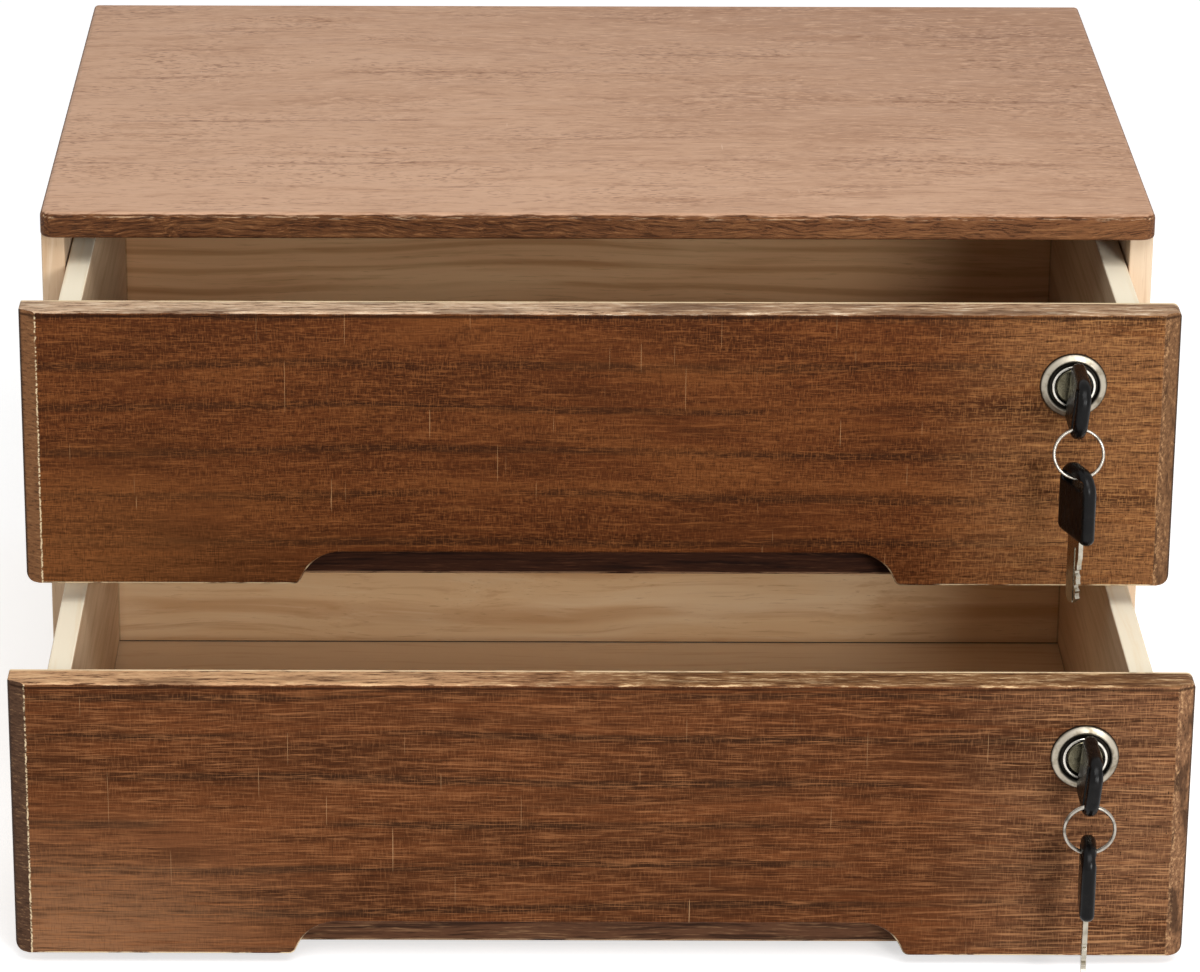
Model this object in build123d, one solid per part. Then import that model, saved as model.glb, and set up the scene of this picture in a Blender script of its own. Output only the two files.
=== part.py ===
from build123d import *
import math
import os

# Desktop drawer organizer: a low wooden cabinet with two drawers that stand partly open. Each drawer has
# a cam lock with its key in it, and a spare key that hangs from that key on a split ring.
# Millimetres. +X is to the right, +Y to the back, +Z up. The origin is the middle of the base.

# Cabinet
cabinet_width = 380.0
side_depth = 250.0
side_thickness = 8.0
top_thickness = 9.0
top_front_overhang = 6.4
top_front_corner_radius = 5.0
top_rear_corner_radius = 0.8
top_upper_round = 2.2
top_lower_round = 1.0
shelf_thickness = 6.0
shelf_housing_depth = 2.0
shelf_housing_clearance = 0.1
base_thickness = 3.0
back_thickness = 3.0
board_round = 0.6

# Drawer boxes
box_height = 92.5
box_side_thickness = 8.0
box_front_thickness = 8.0
box_back_thickness = 8.0
box_bottom_thickness = 3.0
box_bottom_height = 13.5
bottom_groove_depth = 4.0
bottom_groove_clearance = 0.1
side_clearance = 0.5
run_clearance = 0.2
lower_head_clearance = 1.6
upper_head_clearance = 11.5
rear_clearance = 26.0

# Drawer fronts
front_thickness = 12.0
front_side_overhang = 2.75
front_above_box = 5.3
front_raise = 0.8
front_bevel_width = 5.9
front_bevel_depth = 3.2
front_bevel_inner_round = 1.2
front_bevel_outer_round = 3.0
front_upper_left_radius = 1.0
front_upper_right_radius = 2.6
front_lower_corner_radius = 3.2
front_face_round = 1.1
front_rear_round = 0.5
notch_width = 201.5
notch_height = 11.6
notch_end_angle = 65.0
notch_inner_radius = 14.0
notch_outer_radius = 2.5
front_lower_round = 0.9
upper_opening = 52.5
lower_opening = 129.7

# Cam locks
lock_from_front_end = 35.5
lock_from_front_top = 24.8
plug_radius = 5.5
plug_clearance = 0.05
plug_head_lip = 0.5
plug_head_height = 2.0
plug_head_depth = 1.8
plug_head_edge = 0.4
plug_head_clearance = 0.5
housing_wall = 1.45
housing_flange_lip = 0.3
housing_flange_height = 2.2
housing_flange_edge = 0.2
housing_hole_clearance = 0.2
housing_behind_nut = 0.7
nut_wall = 2.5
nut_thickness = 3.5
trim_groove_width = 0.8
trim_dish_width = 0.7
trim_skirt_width = 2.3
trim_ring_height = 2.1
trim_ring_rim = 1.0
trim_ring_round = 0.8
trim_dish_height = 1.4
trim_lip_thickness = 0.8
tang_size = 6.0
tang_clearance = 0.05
stop_washer_wall = 2.2
stop_washer_thickness = 0.8
stop_washer_ear_width = 4.0
stop_washer_ear_length = 1.6
stack_gap = 0.1
cam_thickness = 1.8
cam_width = 10.0
cam_corner_radius = 2.0
cam_hub_wall = 2.2
cam_engagement = 4.0
cam_pocket_depth = 4.6
cam_pocket_side_room = 1.2
cam_screw_radius = 1.95
cam_screw_length = 8.0
cam_screw_head_radius = 3.6
cam_screw_head_height = 2.2
cam_screw_edge = 0.9
cam_screw_cross_size = 4.0
cam_screw_cross_width = 1.0
cam_screw_cross_depth = 1.2
cam_screw_clearance = 0.05
wafer_count = 5
wafer_pitch = 2.6
first_wafer_depth = 3.0
wafer_thickness = 0.8
wafer_width = 3.6
wafer_end_clearance = 0.4
wafer_bar = 0.85
wafer_clearance = 0.1

# Keys and rings
key_head_length = 25.2
key_head_width = 20.6
key_head_thickness = 4.8
key_head_end_radius = 8.0
key_head_corner_radius = 2.6
key_head_edge_round = 2.1
key_head_side_wall = 2.7
key_slot_width = 3.4
key_slot_from_end = 5.0
key_slot_edge_round = 0.6
key_blade_length = 23.2
key_blade_thickness = 1.6
key_root_length = 12.0
key_root_width = 6.0
key_shoulder_length = 6.0
key_tip_length = 1.8
key_tip_width = 5.0
key_cut_depths = (0.7, 1.9, 1.1, 2.2, 1.4)
key_cut_flat = 0.8
key_cut_peak = 0.3
key_groove_width = 1.1
key_groove_depth = 0.4
key_groove_offset = 1.3
key_stand_off = 3.5
keyway_clearance = 0.15
ring_wire = 1.0
ring_radius = 8.1
ring_coil_pitch = 0.85
ring_hang_clearance = 0.3
key_rest_turn = 5.0
upper_ring_lean = 16.0
lower_ring_lean = 0.0
upper_spare_key_turn = 20.0
lower_spare_key_turn = -4.0

# Fasteners
brad_radius = 0.6
brad_clearance = 0.05
box_brad_length = 20.0
box_brads_per_corner = 3
box_brad_edge_distance = 12.0
box_brad_low_edge = 6.0
shelf_brad_length = 25.0
shelf_brads_per_side = 3
base_brad_length = 16.0
base_brads_per_side = 4
back_brad_length = 14.0
back_brads_per_side = 4
panel_brad_edge_distance = 18.0
dowel_radius = 2.5
dowel_depth_in_top = 5.5
dowel_depth_in_side = 10.0
dowel_clearance = 0.05
dowels_per_side = 3
dowel_edge_distance = 30.0
screw_radius = 1.75
screw_head_radius = 3.5
screw_depth_in_front = 9.0
screw_clearance = 0.05
screw_from_box_side = 55.0
screw_from_box_edge = 24.0

# Sizes and places that follow
housing_radius = plug_radius + plug_clearance + housing_wall
housing_flange_radius = housing_radius + housing_flange_lip
plug_head_radius = plug_radius + plug_head_lip
trim_dish_radius = housing_flange_radius + trim_groove_width
trim_crest_radius = trim_dish_radius + trim_dish_width
trim_ring_radius = trim_crest_radius + trim_skirt_width
nut_across_flats = 2 * (housing_radius + nut_wall)
tang_corner_radius = tang_size / 2 * math.sqrt(2)
stop_washer_radius = tang_corner_radius + stop_washer_wall
cam_hub_radius = tang_corner_radius + cam_hub_wall
wafer_height = 2 * (plug_radius - wafer_end_clearance)
key_blade_width = wafer_height - 2 * (wafer_bar + keyway_clearance)
key_slot_length = key_head_width - 2 * key_head_side_wall
front_plane = -(side_depth + back_thickness) / 2
back_plane = front_plane + side_depth
half_width = cabinet_width / 2
inner_half_width = half_width - side_thickness
box_half_width = inner_half_width - side_clearance
box_inner_half_width = box_half_width - box_side_thickness
box_length = side_depth - rear_clearance
front_width = cabinet_width + 2 * front_side_overhang
front_height = box_height + front_above_box - front_raise
lower_box_bottom = base_thickness + run_clearance
shelf_underside = lower_box_bottom + box_height + lower_head_clearance
shelf_top = shelf_underside + shelf_thickness
upper_box_bottom = shelf_top + run_clearance
top_underside = upper_box_bottom + box_height + upper_head_clearance
lock_x = front_width / 2 - lock_from_front_end
boards_behind_lock = front_thickness + box_front_thickness
housing_end = boards_behind_lock + nut_thickness + housing_behind_nut
stop_washer_start = housing_end + stack_gap
cam_start = stop_washer_start + stop_washer_thickness
tang_end = cam_start + cam_thickness
key_head_end = -plug_head_height - key_stand_off
keyway_end = key_head_end + key_blade_length + 4 * keyway_clearance
cam_pocket_y = front_plane - front_thickness + cam_start + cam_thickness / 2


def block(x, y, z):
    """A box between a low and a high value along each axis."""
    size = (x[1] - x[0], y[1] - y[0], z[1] - z[0])
    middle = (sum(x) / 2, sum(y) / 2, sum(z) / 2)
    return Pos(*middle) * Box(*size)


def rod(radius, start, end):
    """A round bar between two points."""
    run = Vector(*end) - Vector(*start)
    return Solid.make_cylinder(radius, run.length, Plane(origin=start, z_dir=run))


def turned(points):
    """A ring or a shaft about the Y axis, from its outline as radius and depth."""
    return revolve(make_face(Polyline(*points, close=True)), Axis.Y)


def spread(low, high, count):
    """Evenly spaced places from low to high."""
    return [low + (high - low) * i / (count - 1) for i in range(count)]


def rounded_outline(points, radii):
    """A face from its corner points, with the corners in each list rounded by its radius."""
    outline = make_face(Polyline(*points, close=True))
    for radius, corners in radii:
        for corner in corners:
            place = Vector(*points[corner])
            nearest = min(outline.vertices(), key=lambda v: (Vector(*tuple(v)) - place).length)
            outline = fillet(nearest, radius)
    return outline


def rounded_board(x, y, z, radius, axis):
    """A board with its long arrises along one axis eased."""
    board = block(x, y, z)
    return fillet(board.edges().filter_by(axis), radius)


def group(solids):
    return Compound(children=list(solids))


def save(shape, name):
    export_step(shape, f"parts/{name}.step")


def brad_holes(brads):
    """The holes that a group of brads sits in."""
    return [rod(brad_radius + brad_clearance, start, end) for start, end in brads]


def brad_rods(brads):
    return group(rod(brad_radius, start, end) for start, end in brads)


def lock_height(box_bottom):
    return box_bottom + box_height + front_above_box - lock_from_front_top


def cam_reach(box_bottom, panel_underside):
    return panel_underside + cam_engagement - lock_height(box_bottom)


def cam_pocket(box_bottom, panel_underside):
    """The pocket in the panel above a drawer that the turned cam swings up into."""
    reach = cam_reach(box_bottom, panel_underside)
    rise = panel_underside - lock_height(box_bottom)
    swing = math.sqrt(reach**2 - rise**2) + cam_width / 2 + cam_pocket_side_room
    x = (lock_x - swing, lock_x + cam_width / 2 + cam_pocket_side_room)
    half = cam_thickness / 2 + cam_pocket_side_room
    y = (cam_pocket_y - half, cam_pocket_y + half)
    return block(x, y, (panel_underside - 1, panel_underside + cam_pocket_depth))


# Cabinet
first_dowel = front_plane + dowel_edge_distance
last_dowel = back_plane - dowel_edge_distance
dowel_places = [
    (side * (half_width - side_thickness / 2), y)
    for side in (-1, 1)
    for y in spread(first_dowel, last_dowel, dowels_per_side)
]
shelf_brads = [
    (
        (side * half_width, y, shelf_underside + shelf_thickness / 2),
        (side * (half_width - shelf_brad_length), y, shelf_underside + shelf_thickness / 2),
    )
    for side in (-1, 1)
    for y in spread(first_dowel, last_dowel, shelf_brads_per_side)
]
base_brads = [
    (
        (side * (half_width - side_thickness / 2), y, 0),
        (side * (half_width - side_thickness / 2), y, base_brad_length),
    )
    for side in (-1, 1)
    for y in spread(
        front_plane + panel_brad_edge_distance, back_plane - panel_brad_edge_distance, base_brads_per_side
    )
]
back_brads = [
    (
        (side * (half_width - side_thickness / 2), back_plane + back_thickness, z),
        (side * (half_width - side_thickness / 2), back_plane + back_thickness - back_brad_length, z),
    )
    for side in (-1, 1)
    for z in spread(
        base_thickness + base_brad_length + panel_brad_edge_distance,
        top_underside - dowel_depth_in_side - panel_brad_edge_distance,
        back_brads_per_side,
    )
]


def dowel(x, y, clearance):
    low = top_underside - dowel_depth_in_side - clearance
    high = top_underside + dowel_depth_in_top + clearance
    return rod(dowel_radius + clearance, (x, y, low), (x, y, high))


def top_panel():
    front, back = front_plane - top_front_overhang, back_plane + back_thickness
    corners = [(-half_width, front), (half_width, front), (half_width, back), (-half_width, back)]
    radii = [(top_front_corner_radius, (0, 1)), (top_rear_corner_radius, (2, 3))]
    board = Pos(0, 0, top_underside) * extrude(rounded_outline(corners, radii), top_thickness)
    board = fillet(board.edges().group_by(Axis.Z)[-1], top_upper_round)
    board = fillet(board.edges().group_by(Axis.Z)[0], top_lower_round)
    board -= [dowel(x, y, dowel_clearance) for x, y in dowel_places]
    return board - cam_pocket(upper_box_bottom, top_underside)


def side_panel(side):
    x = sorted((side * inner_half_width, side * half_width))
    board = rounded_board(x, (front_plane, back_plane), (base_thickness, top_underside), board_round, Axis.Z)
    floor = side * (inner_half_width + shelf_housing_depth)
    groove_z = (shelf_underside - shelf_housing_clearance, shelf_top + shelf_housing_clearance)
    groove_y = (front_plane - 1, back_plane + 1)
    board -= block(sorted((side * (inner_half_width - 1), floor)), groove_y, groove_z)
    board -= [dowel(x, y, dowel_clearance) for x, y in dowel_places]
    board -= brad_holes(shelf_brads + base_brads + back_brads)
    return board


def divider_shelf():
    reach = inner_half_width + shelf_housing_depth - shelf_housing_clearance
    board = block((-reach, reach), (front_plane, back_plane), (shelf_underside, shelf_top))
    board -= cam_pocket(lower_box_bottom, shelf_underside)
    return board - brad_holes(shelf_brads)


def base_panel():
    board = rounded_board(
        (-half_width, half_width),
        (front_plane, back_plane + back_thickness),
        (0, base_thickness),
        board_round,
        Axis.Z,
    )
    return board - brad_holes(base_brads)


def back_panel():
    board = rounded_board(
        (-half_width, half_width),
        (back_plane, back_plane + back_thickness),
        (base_thickness, top_underside),
        board_round,
        Axis.Y,
    )
    return board - brad_holes(back_brads)


# Drawers: each piece is drawn for a box whose front plane is at Y = 0 and whose lower edge is at Z = 0
front_z = (front_raise, front_raise + front_height)
box_brads = [
    (
        (side * box_half_width, y, z),
        (side * (box_half_width - box_brad_length), y, z),
    )
    for side in (-1, 1)
    for y in (box_front_thickness / 2, box_length - box_back_thickness / 2)
    for z in spread(box_brad_low_edge, box_height - box_brad_edge_distance, box_brads_per_corner)
]
screw_places = [
    (side * (box_inner_half_width - screw_from_box_side), z)
    for side in (-1, 1)
    for z in (screw_from_box_edge + box_bottom_height, box_height - screw_from_box_edge)
]
lock_place = (lock_x, front_z[1] - lock_from_front_top)


def screw(x, z, clearance):
    """A countersunk wood screw through the box front into the drawer front."""
    head_depth = screw_head_radius - screw_radius
    points = [
        (0, -screw_depth_in_front - clearance),
        (screw_radius + clearance, -screw_depth_in_front + screw_radius),
        (screw_radius + clearance, box_front_thickness - head_depth - clearance),
        (screw_head_radius + clearance, box_front_thickness - clearance / 2),
        (0, box_front_thickness - clearance / 2),
    ]
    return Pos(x, 0, z) * turned(points)


def screw_hole(x, z):
    hole = screw(x, z, screw_clearance)
    mouth = rod(screw_head_radius + screw_clearance, (x, box_front_thickness - screw_clearance, z),
                (x, box_front_thickness + 1, z))
    return hole + mouth


def lock_hole():
    x, z = lock_place
    return rod(
        housing_radius + housing_hole_clearance,
        (x, -front_thickness - 1, z),
        (x, box_front_thickness + 1, z),
    )


def bottom_panel_size(clearance):
    """The drawer bottom's extent, let into a groove on all four sides."""
    let_in = bottom_groove_depth - bottom_groove_clearance + clearance
    x = box_inner_half_width + let_in
    y = (box_front_thickness - let_in, box_length - box_back_thickness + let_in)
    z = (box_bottom_height - clearance, box_bottom_height + box_bottom_thickness + clearance)
    return (-x, x), y, z


def lower_edge_cutter():
    """What is cut away below a drawer front: its lower edge with the finger notch, and their front arris."""
    low = front_z[0]
    run = notch_height / math.tan(math.radians(notch_end_angle))
    beyond, notch = front_width, notch_width / 2
    points = [
        (-beyond, low - front_height),
        (-beyond, low),
        (-notch, low),
        (-notch + run, low + notch_height),
        (notch - run, low + notch_height),
        (notch, low),
        (beyond, low),
        (beyond, low - front_height),
    ]
    outline = rounded_outline(points, [(notch_outer_radius, (2, 5)), (notch_inner_radius, (3, 4))])
    below = Pos(0, front_thickness, 0) * extrude(Plane.XZ * outline, 3 * front_thickness)
    face = -front_thickness
    ahead = block((-beyond, beyond), (2 * face, face), (low - front_height, low + front_height))
    cutter = below + ahead
    arris = [
        edge
        for edge in cutter.edges()
        if abs(edge.center().Y - face) < 0.01 and low - 1 < edge.center().Z < low + notch_height + 1
    ]
    inner_arris = [edge for edge in arris if abs(edge.center().X) < beyond - 1]
    return fillet(inner_arris, front_lower_round)


def drawer_front():
    low, high = front_z
    half, face = front_width / 2, -front_thickness
    corners = [(-half, low), (half, low), (half, high), (-half, high)]
    radii = [
        (front_lower_corner_radius, (0, 1)),
        (front_upper_right_radius, (2,)),
        (front_upper_left_radius, (3,)),
    ]
    board = extrude(Plane.XZ * rounded_outline(corners, radii), front_thickness)
    plan_points = [
        (-half, 0),
        (-half, face + front_bevel_depth),
        (-half + front_bevel_width, face),
        (half - front_bevel_width, face),
        (half, face + front_bevel_depth),
        (half, 0),
    ]
    bevel_radii = [(front_bevel_outer_round, (1, 4)), (front_bevel_inner_round, (2, 3))]
    plan = rounded_outline(plan_points, bevel_radii)
    board &= extrude(plan, high + 1)
    section_points = [(face, low - 1), (0, low - 1), (0, high), (face, high)]
    section = rounded_outline(section_points, [(front_rear_round, (2,)), (front_face_round, (3,))])
    board &= extrude(Plane.YZ * section, front_width, both=True)
    board -= lower_edge_cutter()
    board -= lock_hole()
    return board - [screw_hole(x, z) for x, z in screw_places]


def box_front():
    board = rounded_board(
        (-box_inner_half_width, box_inner_half_width), (0, box_front_thickness), (0, box_height),
        board_round, Axis.X,
    )
    board -= block(*bottom_panel_size(bottom_groove_clearance))
    board -= lock_hole()
    board -= brad_holes(box_brads)
    return board - [screw_hole(x, z) for x, z in screw_places]


def box_side(side):
    x = sorted((side * box_inner_half_width, side * box_half_width))
    board = rounded_board(x, (0, box_length), (0, box_height), board_round, Axis.Y)
    board -= block(*bottom_panel_size(bottom_groove_clearance))
    return board - brad_holes(box_brads)


def box_back():
    board = rounded_board(
        (-box_inner_half_width, box_inner_half_width),
        (box_length - box_back_thickness, box_length),
        (0, box_height),
        board_round,
        Axis.X,
    )
    board -= block(*bottom_panel_size(bottom_groove_clearance))
    return board - brad_holes(box_brads)


# Locks: drawn with the face of the drawer front at Y = 0 and the lock's axis on the Y axis
def trim_ring():
    """The dished ring that lies on the drawer front under the flange of the lock."""
    bore = housing_radius + housing_hole_clearance / 2
    points = [
        (bore, 0),
        (trim_ring_radius, 0),
        (trim_ring_radius, -trim_ring_rim),
        (trim_crest_radius, -trim_ring_height),
        (trim_dish_radius, -trim_dish_height),
        (trim_dish_radius, -trim_lip_thickness),
        (bore, -trim_lip_thickness),
    ]
    return revolve(rounded_outline(points, [(trim_ring_round, (2, 3))]), Axis.Y)


def lock_housing():
    bore = plug_radius + plug_clearance
    head_bore = plug_head_radius + plug_head_clearance
    head_floor = -plug_head_height + plug_head_depth + stack_gap
    points = [
        (head_bore, -housing_flange_height),
        (housing_flange_radius - housing_flange_edge, -housing_flange_height),
        (housing_flange_radius, -housing_flange_height + housing_flange_edge),
        (housing_flange_radius, -trim_lip_thickness),
        (housing_radius, -trim_lip_thickness),
        (housing_radius, housing_end),
        (bore, housing_end),
        (bore, head_floor),
        (head_bore, head_floor),
    ]
    return turned(points)


def lock_nut():
    hexagon = RegularPolygon(nut_across_flats / 2, 6, major_radius=False)
    hexagon -= Circle(housing_radius + housing_hole_clearance / 2)
    nut = extrude(Plane.XZ * hexagon, -nut_thickness)
    return Pos(0, boards_behind_lock, 0) * nut


def lock_plug():
    head_back = -plug_head_height + plug_head_depth
    points = [
        (0, -plug_head_height),
        (plug_head_radius - plug_head_edge, -plug_head_height),
        (plug_head_radius, -plug_head_height + plug_head_edge),
        (plug_head_radius, head_back),
        (plug_radius, head_back),
        (plug_radius, stop_washer_start - stack_gap / 2),
        (0, stop_washer_start - stack_gap / 2),
    ]
    tang = tang_size / 2
    plug = turned(points) + block((-tang, tang), (housing_end - 1, tang_end), (-tang, tang))
    half_x = key_blade_thickness / 2 + keyway_clearance
    half_z = key_blade_width / 2 + keyway_clearance
    plug -= block((-half_x, half_x), (-plug_head_height - 1, keyway_end), (-half_z, half_z))
    slot = wafer_width / 2 + wafer_clearance
    for y in wafer_places():
        low = y - wafer_clearance
        high = y + wafer_thickness + wafer_clearance
        plug -= block((-slot, slot), (low, high), (-plug_radius - 1, plug_radius + 1))
    hole_end = tang_end - cam_screw_length - 1
    return plug - rod(cam_screw_radius + cam_screw_clearance, (0, hole_end, 0), (0, tang_end + 1, 0))


def wafer_places():
    return [first_wafer_depth + i * wafer_pitch for i in range(wafer_count)]


def lock_wafers():
    """The flat plates that the key lines up inside the plug."""
    half_x = key_blade_thickness / 2 + keyway_clearance
    half_z = key_blade_width / 2 + keyway_clearance
    wafers = []
    for y in wafer_places():
        depth = (y, y + wafer_thickness)
        plate = block(
            (-wafer_width / 2, wafer_width / 2), depth, (-wafer_height / 2, wafer_height / 2)
        )
        wafers.append(plate - block((-half_x, half_x), (y - 1, y + wafer_thickness + 1), (-half_z, half_z)))
    return group(wafers)


def tang_hole(low, high):
    half = tang_size / 2 + tang_clearance
    return block((-half, half), (low - 1, high + 1), (-half, half))


def stop_washer():
    """A washer on the plug's square tang, with the ear that stops the turn."""
    low, high = stop_washer_start, stop_washer_start + stop_washer_thickness
    washer = rod(stop_washer_radius, (0, low, 0), (0, high, 0))
    ear = stop_washer_ear_width / 2
    washer += block((-ear, ear), (low, high), (-stop_washer_radius - stop_washer_ear_length, 0))
    return washer - tang_hole(low, high)


def lock_cam(reach):
    """The flat bar that swings up behind the panel above: it lies towards -X when unlocked."""
    low, high = cam_start, cam_start + cam_thickness
    bar = Pos(-reach / 2, 0) * Rectangle(reach, cam_width)
    bar = fillet(bar.vertices().group_by(Axis.X)[0], cam_corner_radius)
    outline = bar + Circle(cam_hub_radius)
    cam = Pos(0, high, 0) * extrude(Plane.XZ * outline, cam_thickness)
    return cam - tang_hole(low, high)


def cam_screw():
    head = tang_end + cam_screw_head_height
    points = [
        (0, tang_end - cam_screw_length),
        (cam_screw_radius, tang_end - cam_screw_length),
        (cam_screw_radius, tang_end),
        (cam_screw_head_radius, tang_end),
        (cam_screw_head_radius, head - cam_screw_edge),
        (cam_screw_head_radius - cam_screw_edge, head),
        (0, head),
    ]
    depth = (head - cam_screw_cross_depth, head + 1)
    across = (-cam_screw_cross_size / 2, cam_screw_cross_size / 2)
    slit = (-cam_screw_cross_width / 2, cam_screw_cross_width / 2)
    return turned(points) - [block(slit, depth, across), block(across, depth, slit)]


# Keys: drawn with the inner end of the head at Y = 0, the blade towards +Y and the head flat along YZ
def key_plate(points, thickness):
    """A flat piece of the key from its outline in Y and Z."""
    outline = make_face(Polyline(*points, close=True))
    return extrude(Plane.YZ * outline, thickness / 2, both=True)


def key_head():
    half = key_head_width / 2
    outline = Pos(-key_head_length / 2, 0) * Rectangle(key_head_length, key_head_width)
    outline = fillet(outline.vertices().group_by(Axis.X)[0], key_head_end_radius)
    outline = fillet(outline.vertices().group_by(Axis.X)[-1], key_head_corner_radius)
    head = extrude(Plane.YZ * outline, key_head_thickness / 2, both=True)
    rims = head.edges().group_by(Axis.X)
    head = fillet(rims[0] + rims[-1], key_head_edge_round)
    slot_y = -key_head_length + key_slot_from_end
    slot = Plane.YZ * Pos(slot_y, 0) * SlotOverall(key_slot_length, key_slot_width, rotation=90)
    head -= extrude(slot, half, both=True)
    slot_rims = [
        edge
        for edge in head.edges()
        if abs(abs(edge.center().X) - key_head_thickness / 2) < 0.01
        and abs(edge.center().Y - slot_y) < key_slot_width / 2 + 0.01
    ]
    head = fillet(slot_rims, key_slot_edge_round)
    root = key_root_width / 2
    return head - block(
        (-key_blade_thickness / 2, key_blade_thickness / 2), (-key_root_length, 1), (-root, root)
    )


def key_blade():
    """The blade with its root in the head, and one cut for each wafer along the lower edge."""
    root, half = key_root_width / 2, key_blade_width / 2
    points = [(-key_root_length, -root), (0, -root), (0, -half), (key_shoulder_length, -half)]
    for place, depth in zip(wafer_places(), key_cut_depths):
        middle = place + wafer_thickness / 2 - key_head_end
        points += [
            (middle - key_cut_flat / 2, -half + depth),
            (middle + key_cut_flat / 2, -half + depth),
            (middle + wafer_pitch / 2, -half + key_cut_peak + depth / 3),
        ]
    points += [
        (key_blade_length, half - key_tip_length - key_tip_width / 2),
        (key_blade_length, half - key_tip_length),
        (key_blade_length - key_tip_length, half),
        (0, half),
        (0, root),
        (-key_root_length, root),
    ]
    blade = key_plate(points, key_blade_thickness)
    for side in (-1, 1):
        outer = side * (key_blade_thickness / 2 + 1)
        inner = side * (key_blade_thickness / 2 - key_groove_depth)
        middle = side * key_groove_offset
        z = (middle - key_groove_width / 2, middle + key_groove_width / 2)
        blade -= block(sorted((outer, inner)), (key_shoulder_length / 2, key_blade_length + 1), z)
    return blade


def key_ring():
    """A split ring of two close coils, drawn about the Y axis."""
    ring = None
    for side in (-1, 1):
        wire = Pos(ring_radius, side * ring_coil_pitch / 2) * Circle(ring_wire / 2)
        coil = revolve(wire, Axis.Y)
        ring = coil if ring is None else ring + coil
    return ring


def ring_drop(angle):
    """How far the ring's wire falls away over half a key head that it passes at this angle."""
    half_pass = key_head_thickness / 2 / math.cos(math.radians(angle))
    return ring_radius - math.sqrt(ring_radius**2 - half_pass**2)


ring_half_depth = (ring_wire + ring_coil_pitch) / 2
slot_end_radius = key_slot_width / 2
slot_end_middle = key_slot_length / 2 - slot_end_radius
slot_floor = slot_end_middle + math.sqrt(slot_end_radius**2 - ring_half_depth**2)
ring_top_below_lock = slot_floor - ring_hang_clearance - ring_wire / 2 - ring_drop(0)
ring_top = Pos(
    -slot_end_middle * math.sin(math.radians(key_rest_turn)),
    key_head_end - key_head_length + key_slot_from_end,
    -ring_top_below_lock,
)


def hung_ring(lean):
    """The ring in the slot of the key, with its lower side leaning out from the lock."""
    return ring_top * Rot(-lean, 0, 0) * Pos(0, 0, -ring_radius) * key_ring()


def spare_key_place(turn, lean):
    """Where a spare key hangs on the ring: head up, turned about the vertical."""
    slot_above_wire = ring_wire / 2 + ring_drop(turn) + ring_hang_clearance - slot_end_radius
    head_end = slot_above_wire - key_head_length + key_slot_from_end
    wire = ring_top * Rot(-lean, 0, 0) * Pos(0, 0, -2 * ring_radius)
    return Pos(*wire.position) * Pos(0, 0, head_end) * Rot(0, 0, turn) * Rot(-90, 0, 0)


def save_cabinet():
    save(top_panel(), "top_panel")
    save(side_panel(-1), "left_side_panel")
    save(side_panel(1), "right_side_panel")
    save(divider_shelf(), "divider_shelf")
    save(base_panel(), "base_panel")
    save(back_panel(), "back_panel")
    save(group(dowel(x, y, 0) for x, y in dowel_places), "top_dowels")
    save(brad_rods(shelf_brads), "shelf_brads")
    save(brad_rods(base_brads), "base_brads")
    save(brad_rods(back_brads), "back_brads")


def save_drawer(name, box_bottom, opening):
    pieces = {
        "drawer_front": drawer_front(),
        "box_front": box_front(),
        "box_left_side": box_side(-1),
        "box_right_side": box_side(1),
        "box_back": box_back(),
        "box_bottom": block(*bottom_panel_size(0)),
        "box_brads": brad_rods(box_brads),
        "front_screws": group(screw(x, z, 0) for x, z in screw_places),
    }
    place = Pos(0, front_plane - opening, box_bottom)
    for piece, shape in pieces.items():
        save(place * shape, f"{name}_{piece}")


def save_lock(name, box_bottom, opening, panel_underside, lean, spare_key_turn):
    hung = spare_key_place(spare_key_turn, lean)
    rest_turn = Rot(0, key_rest_turn, 0)
    inserted = rest_turn * Pos(0, key_head_end, 0)
    pieces = {
        "lock_trim_ring": trim_ring(),
        "lock_housing": lock_housing(),
        "lock_nut": lock_nut(),
        "lock_plug": rest_turn * lock_plug(),
        "lock_wafers": rest_turn * lock_wafers(),
        "lock_stop_washer": rest_turn * stop_washer(),
        "lock_cam": rest_turn * lock_cam(cam_reach(box_bottom, panel_underside)),
        "lock_cam_screw": rest_turn * cam_screw(),
        "key_blade": inserted * key_blade(),
        "key_head": inserted * key_head(),
        "key_ring": hung_ring(lean),
        "spare_key_blade": hung * key_blade(),
        "spare_key_head": hung * key_head(),
    }
    x, z = lock_place
    place = Pos(x, front_plane - opening - front_thickness, box_bottom + z)
    for piece, shape in pieces.items():
        save(place * shape, f"{name}_{piece}")


os.makedirs("parts", exist_ok=True)
save_cabinet()
save_drawer("upper", upper_box_bottom, upper_opening)
save_drawer("lower", lower_box_bottom, lower_opening)
save_lock(
    "upper", upper_box_bottom, upper_opening, top_underside, upper_ring_lean, upper_spare_key_turn
)
save_lock(
    "lower", lower_box_bottom, lower_opening, shelf_underside, lower_ring_lean, lower_spare_key_turn
)
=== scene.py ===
import math

import bmesh
import bpy
from mathutils import Euler, Matrix, Vector


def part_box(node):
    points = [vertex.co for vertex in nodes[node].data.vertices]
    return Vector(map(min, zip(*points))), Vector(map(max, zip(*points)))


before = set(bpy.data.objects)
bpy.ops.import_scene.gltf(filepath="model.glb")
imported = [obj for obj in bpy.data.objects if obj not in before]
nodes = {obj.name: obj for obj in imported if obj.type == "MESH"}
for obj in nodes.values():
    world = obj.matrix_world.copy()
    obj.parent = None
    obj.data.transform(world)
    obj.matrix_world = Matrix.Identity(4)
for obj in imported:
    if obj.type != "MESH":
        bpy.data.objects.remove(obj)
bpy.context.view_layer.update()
mm = 0.001
levels = ("upper", "lower")
print("loaded", len(nodes), "nodes")


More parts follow.
